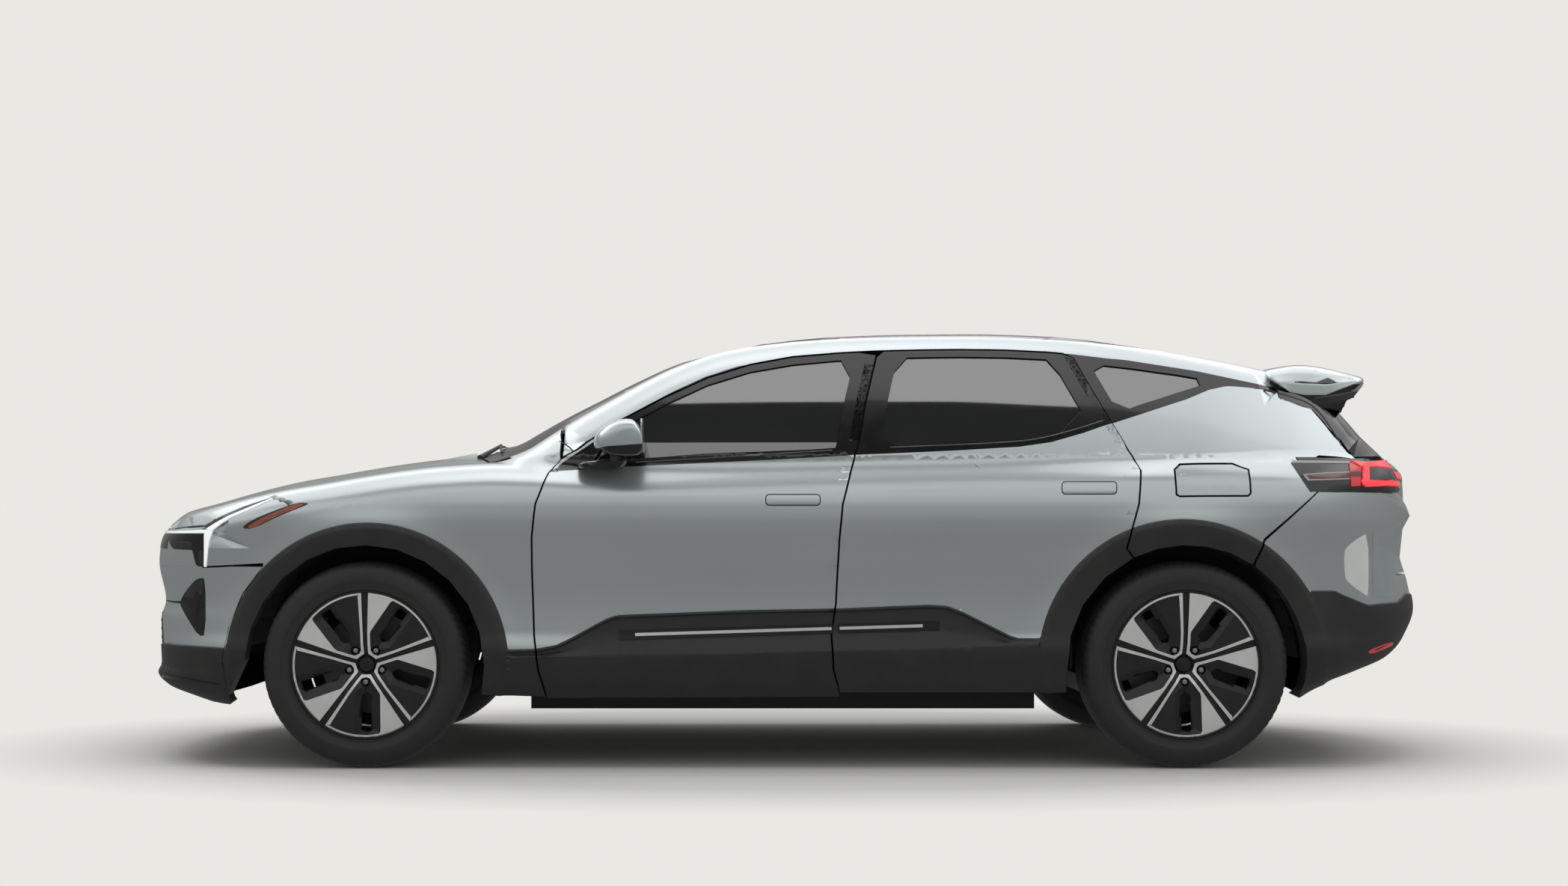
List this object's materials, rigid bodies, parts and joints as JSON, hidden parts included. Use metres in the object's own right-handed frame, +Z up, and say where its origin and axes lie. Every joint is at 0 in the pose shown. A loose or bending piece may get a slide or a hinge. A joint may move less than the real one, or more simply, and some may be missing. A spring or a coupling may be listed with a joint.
{
  "type": "electric sport utility vehicle",
  "caption": "Five-door electric sport utility vehicle with hinged doors, bonnet and tailgate, steered front wheels and a hollow cabin.",
  "frame": {"origin": "on the ground below the middle of the car's bounding box", "axes": "+X towards the tail, +Y to the car's right side, +Z up"},
  "size_m": [4.9, 2.124, 1.6345],
  "materials": {
    "paint": "silver grey satin gloss paint",
    "cladding": "matt black",
    "dark_glass": "dark tinted glass",
    "rubber": "black rubber",
    "alloy": "machined and dark painted alloy",
    "steel": "bare metal",
    "underbody": "dark coated",
    "fabric": "dark upholstery",
    "lamp_red": "red lens",
    "lamp_clear": "clear lens"
  },
  "bodies": {
    "body": {"body_side_left": "paint", "body_side_right": "paint", "cowl": "cladding", "dashboard": "fabric", "fender_left": "paint", "fender_right": "paint", "front_axle": "steel", "front_bumper": "paint", "front_module": "cladding", "front_seat_left": "fabric", "front_seat_right": "fabric", "front_structure": "underbody", "headlamp_left": "lamp_clear", "headlamp_right": "lamp_clear", "quarter_glass_left": "dark_glass", "quarter_glass_right": "dark_glass", "rear_axle": "steel", "rear_bench": "fabric", "rear_bumper": "paint", "roof": "dark_glass", "tail_lamp_left": "lamp_red", "tail_lamp_right": "lamp_red", "underbody": "underbody", "windscreen": "dark_glass"},
    "bonnet": {"bonnet": "paint"},
    "tailgate": {"tailgate": "paint", "tailgate_glass": "dark_glass"},
    "charge_lid": {"charge_lid": "paint"},
    "steering_wheel": {"steering_wheel": "cladding"},
    "front_door_left": {"front_door_left": "paint", "front_door_glass_left": "dark_glass", "mirror_left": "paint"},
    "rear_door_left": {"rear_door_left": "paint", "rear_door_glass_left": "dark_glass"},
    "knuckle_left": {"knuckle_left": "steel"},
    "wheel_front_left": {"rim_front_left": "alloy", "tyre_front_left": "rubber"},
    "wheel_rear_left": {"rim_rear_left": "alloy", "tyre_rear_left": "rubber"},
    "front_door_right": {"front_door_right": "paint", "front_door_glass_right": "dark_glass", "mirror_right": "paint"},
    "rear_door_right": {"rear_door_right": "paint", "rear_door_glass_right": "dark_glass"},
    "knuckle_right": {"knuckle_right": "steel"},
    "wheel_front_right": {"rim_front_right": "alloy", "tyre_front_right": "rubber"},
    "wheel_rear_right": {"rim_rear_right": "alloy", "tyre_rear_right": "rubber"}
  },
  "joints": [
    {"name": "steer_left", "type": "hinge", "parent": "body", "child": "knuckle_left", "pos_m": [-1.565, -0.836, 0.376], "axis": [0, 0, 1], "range_deg": [-33, 33]},
    {"name": "wheel_front_left_spin", "type": "hinge", "parent": "knuckle_left", "child": "wheel_front_left", "pos_m": [-1.565, -0.836, 0.376], "axis": [0, 1, 0], "continuous": true},
    {"name": "wheel_rear_left_spin", "type": "hinge", "parent": "body", "child": "wheel_rear_left", "pos_m": [1.42, -0.836, 0.376], "axis": [0, 1, 0], "continuous": true},
    {"name": "front_door_left_hinge", "type": "hinge", "parent": "body", "child": "front_door_left", "pos_m": [-0.957, -0.961, 0.86], "axis": [0, 0, -1], "range_deg": [0, 66]},
    {"name": "rear_door_left_hinge", "type": "hinge", "parent": "body", "child": "rear_door_left", "pos_m": [0.13, -0.961, 0.86], "axis": [0, 0, -1], "range_deg": [0, 66]},
    {"name": "steer_right", "type": "hinge", "parent": "body", "child": "knuckle_right", "pos_m": [-1.565, 0.836, 0.376], "axis": [0, 0, 1], "range_deg": [-33, 33]},
    {"name": "wheel_front_right_spin", "type": "hinge", "parent": "knuckle_right", "child": "wheel_front_right", "pos_m": [-1.565, 0.836, 0.376], "axis": [0, 1, 0], "continuous": true},
    {"name": "wheel_rear_right_spin", "type": "hinge", "parent": "body", "child": "wheel_rear_right", "pos_m": [1.42, 0.836, 0.376], "axis": [0, 1, 0], "continuous": true},
    {"name": "front_door_right_hinge", "type": "hinge", "parent": "body", "child": "front_door_right", "pos_m": [-0.957, 0.961, 0.86], "axis": [0, 0, 1], "range_deg": [0, 66]},
    {"name": "rear_door_right_hinge", "type": "hinge", "parent": "body", "child": "rear_door_right", "pos_m": [0.13, 0.961, 0.86], "axis": [0, 0, 1], "range_deg": [0, 66]},
    {"name": "bonnet_hinge", "type": "hinge", "parent": "body", "child": "bonnet", "pos_m": [-1.03, 0, 1.1], "axis": [0, 1, 0], "range_deg": [0, 50]},
    {"name": "tailgate_hinge", "type": "hinge", "parent": "body", "child": "tailgate", "pos_m": [1.829, 0, 1.5045], "axis": [0, -1, 0], "range_deg": [0, 75]},
    {"name": "charge_lid_hinge", "type": "hinge", "parent": "body", "child": "charge_lid", "pos_m": [1.3855, -0.96, 1.045], "axis": [0, 0, -1], "range_deg": [0, 100]},
    {"name": "steering_wheel_turn", "type": "hinge", "parent": "body", "child": "steering_wheel", "pos_m": [-0.53, -0.37, 0.93], "axis": [0.9063, 0, 0.4226], "range_deg": [-465, 465]}
  ],
  "couplings": [
    {"joint": "steer_right", "follows": "steer_left", "ratio": 1},
    {"joint": "steering_wheel_turn", "follows": "steer_left", "ratio": 14}
  ]
}
